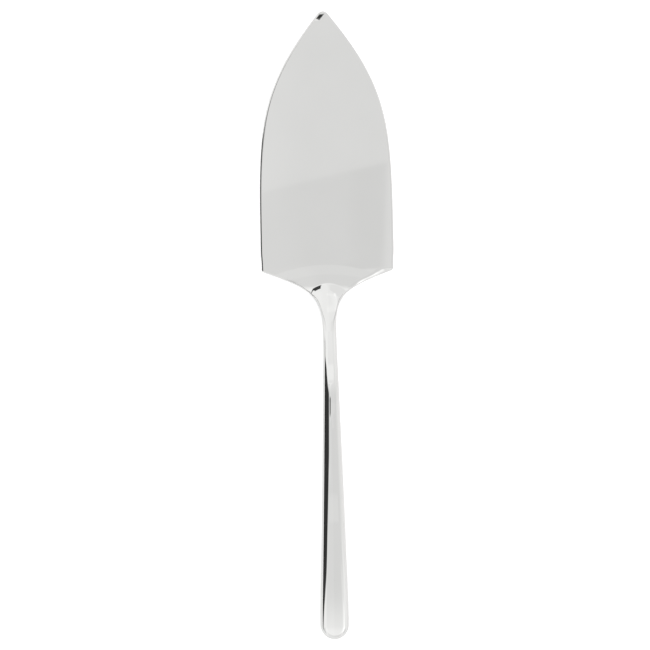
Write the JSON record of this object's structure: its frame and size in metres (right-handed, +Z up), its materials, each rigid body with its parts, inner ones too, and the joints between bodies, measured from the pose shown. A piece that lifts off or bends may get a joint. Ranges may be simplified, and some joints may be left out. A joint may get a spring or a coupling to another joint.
{
  "type": "cake server",
  "caption": "Polished steel cake server with a flat pointed blade, a raised narrow neck and a hollow flared handle with a round butt, for cutting and lifting cake.",
  "frame": {"origin": "middle of the bounding box in plan, at the level of the table that the server lies on", "axes": "+Y along the server to the tip of the blade, +Z up out of the blade's carrying face, +X to the right"},
  "size_m": [0.0552, 0.2602, 0.0162],
  "materials": {
    "polished_steel": "polished",
    "handle_cement": "matte",
    "braze_alloy": "satin"
  },
  "bodies": {
    "root": {"blade": "polished_steel", "handle_upper_shell": "polished_steel", "handle_lower_shell": "polished_steel", "handle_filler": "handle_cement", "seam_braze": "braze_alloy", "mouth_braze_ring": "braze_alloy"}
  },
  "joints": []
}
